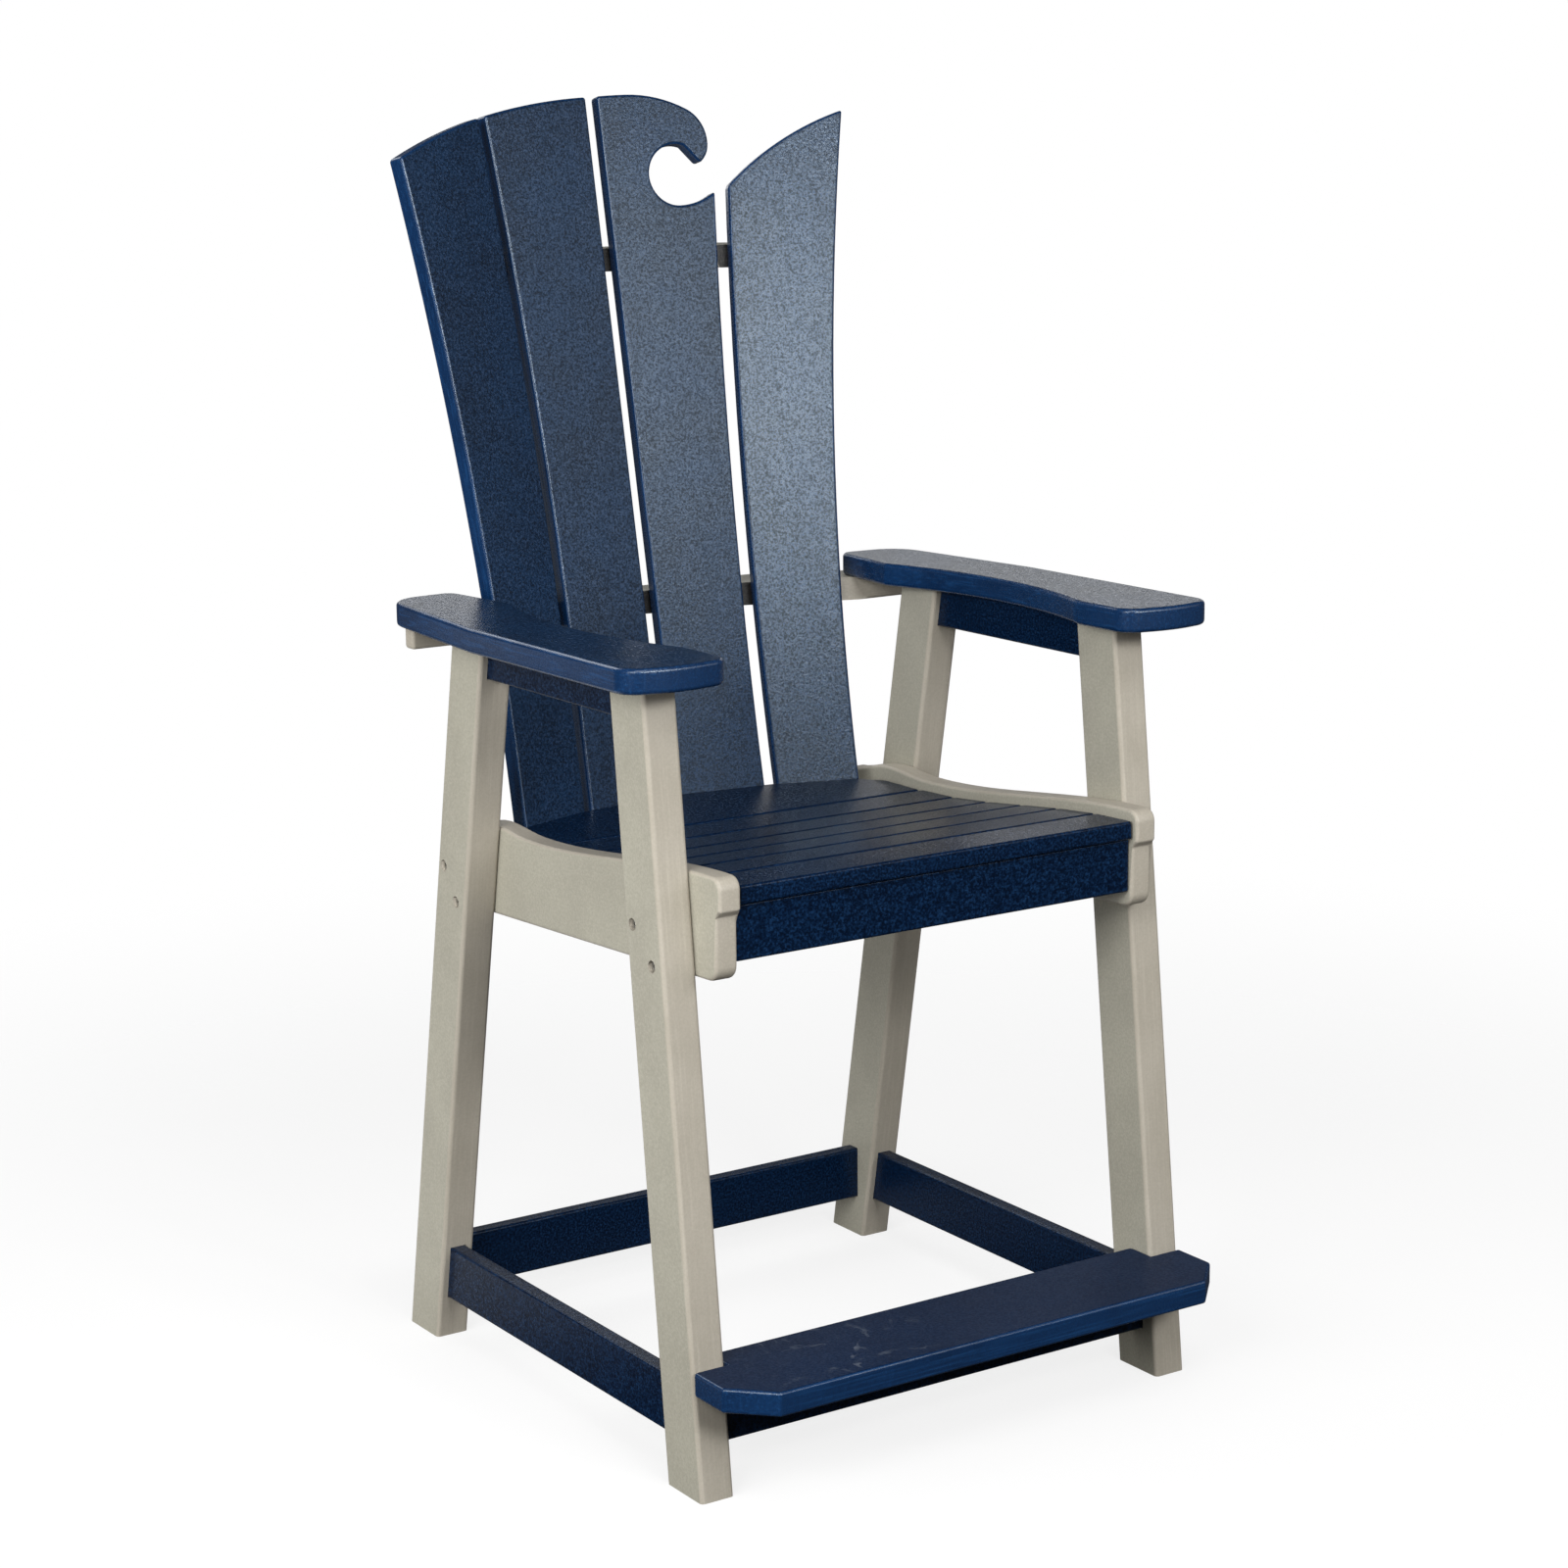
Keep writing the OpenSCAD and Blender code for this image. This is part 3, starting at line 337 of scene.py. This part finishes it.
# Braces
# Three level taupe boards behind the back slats, cut to the fan of the slats and screwed to them.
# Where their fitted faces show in the gaps between the slats, they get near-black painted shade.
BRACE_ROUND = 0.0035
# Near-black painted shade for the brace faces that show in the gaps between the slats, not a stain.
GAP_SHADE = (0.014, 0.013, 0.012)
GAP_SHADE_END = 0.165
FACES_FRONT = -0.5
gap_shade = poly_lumber(
    "painted_gap_shade", GAP_SHADE, pale=(0.040, 0.034, 0.029), dark=(0.003, 0.003, 0.004),
    roughness=0.5, peel=0.3, streak=0.6, speckle=0.4)
for place in ("seat_brace", "arm_brace", "upper_brace"):
    brace = round_arrises(merged_copy(place), BRACE_ROUND, fitted=True)
    for edge_x in (-GAP_SHADE_END, GAP_SHADE_END):
        bmesh.ops.bisect_plane(
            brace, geom=[*brace.verts, *brace.edges, *brace.faces],
            plane_co=(edge_x, 0, 0), plane_no=(1, 0, 0))
    piece = fit_board(place, brace, (*TAUPE, gap_shade))
    # The front faces between the slat ends get this painted shade instead of taupe.
    for face in piece.data.polygons:
        if face.normal.y < FACES_FRONT and abs(face.center.x) < GAP_SHADE_END:
            face.material_index = len(TAUPE)

# Arms
# Two thick navy boards with a bowed front and a scooped inner edge, on top of the legs, each
# with a narrow navy apron under it between the legs.
ARM_ROUND = 0.0045
ARM_APRON_ROUND = 0.003
for side in ("left", "right"):
    apron = round_arrises(merged_copy(f"arm_apron_{side}"), ARM_APRON_ROUND)
    fit_board(f"arm_apron_{side}", apron, MOULDED)
    arm = round_arrises(merged_copy(f"armrest_{side}"), ARM_ROUND)
    fit_board(f"armrest_{side}", arm, SAWN)

# Screws
# Stainless screws with plain shanks and square drives, sunk in counterbores in the boards that
# they hold. Four of them show in the left legs.
STEEL = (0.58, 0.57, 0.54, 1)
STEEL_METALLIC = 0.95
STEEL_ROUGHNESS = 0.28
STEEL_IOR = 1.5
steel, steel_shader = new_finish("screw_steel", STEEL_ROUGHNESS, STEEL_IOR)
steel_shader.inputs["Base Color"].default_value = STEEL
steel_shader.inputs["Metallic"].default_value = STEEL_METALLIC
for place in [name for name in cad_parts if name.endswith("_screws")]:
    screws = merged_copy(place)
    for face in screws.faces:
        face.smooth = True
    mesh = bpy.data.meshes.new(place + "_steel")
    screws.to_mesh(mesh)
    screws.free()
    mesh.set_sharp_from_angle(angle=ARRIS)
    mesh.materials.append(steel)
    piece = bpy.data.objects.new(place + "_steel", mesh)
    bpy.context.scene.collection.objects.link(piece)
    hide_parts(place)
    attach(piece, "root")

# Floor
# A plain pale studio floor that keeps the chair's shadow and fades into the white behind it. To
# the light that bounces off it, it is dark in front and pale towards the back.
FLOOR_RADIUS = 2.6
FLOOR_SIDES = 96
FLOOR_GREY = (0.24, 0.24, 0.24)
FLOOR_GLOW = 0.78
FADE_START = 0.9
FADE_END = 2.4
FRONT_Y = -0.1
BACK_Y = 0.8
DARK_FRONT = 0.05
PALE_BACK = 0.9
PAPER_ROUGHNESS = 0.9
PAPER_IOR = 1.3
disc = bmesh.new()
bmesh.ops.create_circle(disc, cap_ends=True, segments=FLOOR_SIDES, radius=FLOOR_RADIUS)
floor_mesh = bpy.data.meshes.new("studio_floor")
disc.to_mesh(floor_mesh)
disc.free()
floor = bpy.data.objects.new("studio_floor", floor_mesh)
bpy.context.scene.collection.objects.link(floor)
paper, paper_shader = new_finish("floor_paper", PAPER_ROUGHNESS, PAPER_IOR)
paper_shader.inputs["Specular IOR Level"].default_value = 0
paper_shader.inputs["Emission Color"].default_value = (1, 1, 1, 1)
add, link, spread, blend = mixing_tools(paper)
to_camera = add("ShaderNodeLightPath").outputs["Is Camera Ray"]
spot = add("ShaderNodeTexCoord").outputs["Object"]
depth = add("ShaderNodeSeparateXYZ")
link(spot, depth.inputs["Vector"])
behind = spread(depth.outputs["Y"], (FRONT_Y, BACK_Y), (DARK_FRONT, PALE_BACK), "SMOOTHSTEP")
link(blend(to_camera, behind, FLOOR_GREY), paper_shader.inputs["Base Color"])
glow = add("ShaderNodeMath", operation="MULTIPLY")
glow.inputs[1].default_value = FLOOR_GLOW
link(to_camera, glow.inputs[0])
link(glow.outputs["Value"], paper_shader.inputs["Emission Strength"])
distance = add("ShaderNodeVectorMath", operation="LENGTH")
link(spot, distance.inputs[0])
fade = spread(distance.outputs["Value"], (FADE_START, FADE_END), (1, 0), "SMOOTHSTEP")
link(fade, paper_shader.inputs["Alpha"])
floor_mesh.materials.append(paper)

# Lights
# The front softbox gives the sheen on the back slats, and two low panels behind give the glare on
# the arms and the boards' left edges. The left one isn't mirrored, or it would bleach the arms.
# The world is white to the camera alone, because a white one would wash out the navy plastic.
CHAIR_MIDDLE = Vector((0, 0, 0.75))
WORLD_LEVEL = 0.06


def softbox(name, place, width, height, watts, mirrored=True):
    """A rectangular lamp turned to the chair, which glossy boards show if it is mirrored."""
    lamp = bpy.data.lights.new(name, "AREA")
    lamp.shape = "RECTANGLE"
    lamp.size = width
    lamp.size_y = height
    lamp.energy = watts
    light = bpy.data.objects.new(name, lamp)
    light.location = place
    light.rotation_euler = (CHAIR_MIDDLE - Vector(place)).to_track_quat("-Z", "Y").to_euler()
    light.visible_camera = False
    light.visible_glossy = mirrored
    bpy.context.scene.collection.objects.link(light)


softbox("front_softbox", (-0.1, -3.3, 1.98), width=1.25, height=0.55, watts=50)
softbox("front_right_softbox", (1.3, -2.95, 2.0), width=1.1, height=1.0, watts=16)
softbox("right_softbox", (2.5, -2.05, 1.8), width=1.2, height=1.4, watts=6)
softbox("high_softbox", (-0.7, -2.3, 3.6), width=2.0, height=1.6, watts=36)
softbox("front_left_softbox", (-2.7, -2.0, 2.2), width=1.0, height=1.4, watts=42)
softbox("left_softbox", (-3.1, -0.6, 1.35), width=2.0, height=2.0, watts=70, mirrored=False)
softbox("left_rear_panel", (-1.6, 2.3, 0.45), width=0.9, height=0.5, watts=0.6)
softbox("back_softbox", (-0.8, 3.2, 3.2), width=2.0, height=1.6, watts=30)
softbox("rear_panel", (1.2, 1.8, 1.36), width=2.6, height=0.34, watts=5.6)

world = bpy.data.worlds.new("studio")
world.use_nodes = True
bpy.context.scene.world = world
sky = world.node_tree.nodes
dim = sky["Background"]
white = sky.new("ShaderNodeBackground")
for background, strength in ((dim, WORLD_LEVEL), (white, 1)):
    background.inputs["Color"].default_value = (1, 1, 1, 1)
    background.inputs["Strength"].default_value = strength
rays = sky.new("ShaderNodeLightPath")
choose = sky.new("ShaderNodeMixShader")
wire = world.node_tree.links.new
wire(rays.outputs["Is Camera Ray"], choose.inputs["Fac"])
wire(dim.outputs[0], choose.inputs[1])
wire(white.outputs[0], choose.inputs[2])
wire(choose.outputs[0], sky["World Output"].inputs["Surface"])

# Camera
# It stands in front and to the left, a little above the arms. It looks down slightly and is
# tilted a little, as in the photograph.
CAMERA_PLACE = (-1.93030, -2.91214, 1.36083)
CAMERA_HEADING = math.radians(33.606)
CAMERA_DIP = math.radians(11.856)
CAMERA_ROLL = math.radians(-0.563)
CAMERA_LENS = 77.29
SENSOR_WIDTH = 36
lens = bpy.data.cameras.new("camera")
lens.lens = CAMERA_LENS
lens.sensor_width = SENSOR_WIDTH
camera = bpy.data.objects.new("camera", lens)
camera.matrix_world = (
    Matrix.Translation(CAMERA_PLACE) @ Matrix.Rotation(-CAMERA_HEADING, 4, "Z")
    @ Matrix.Rotation(math.pi / 2 - CAMERA_DIP, 4, "X") @ Matrix.Rotation(CAMERA_ROLL, 4, "Z"))
bpy.context.scene.collection.objects.link(camera)
bpy.context.scene.camera = camera
bpy.context.scene.view_settings.view_transform = "Standard"
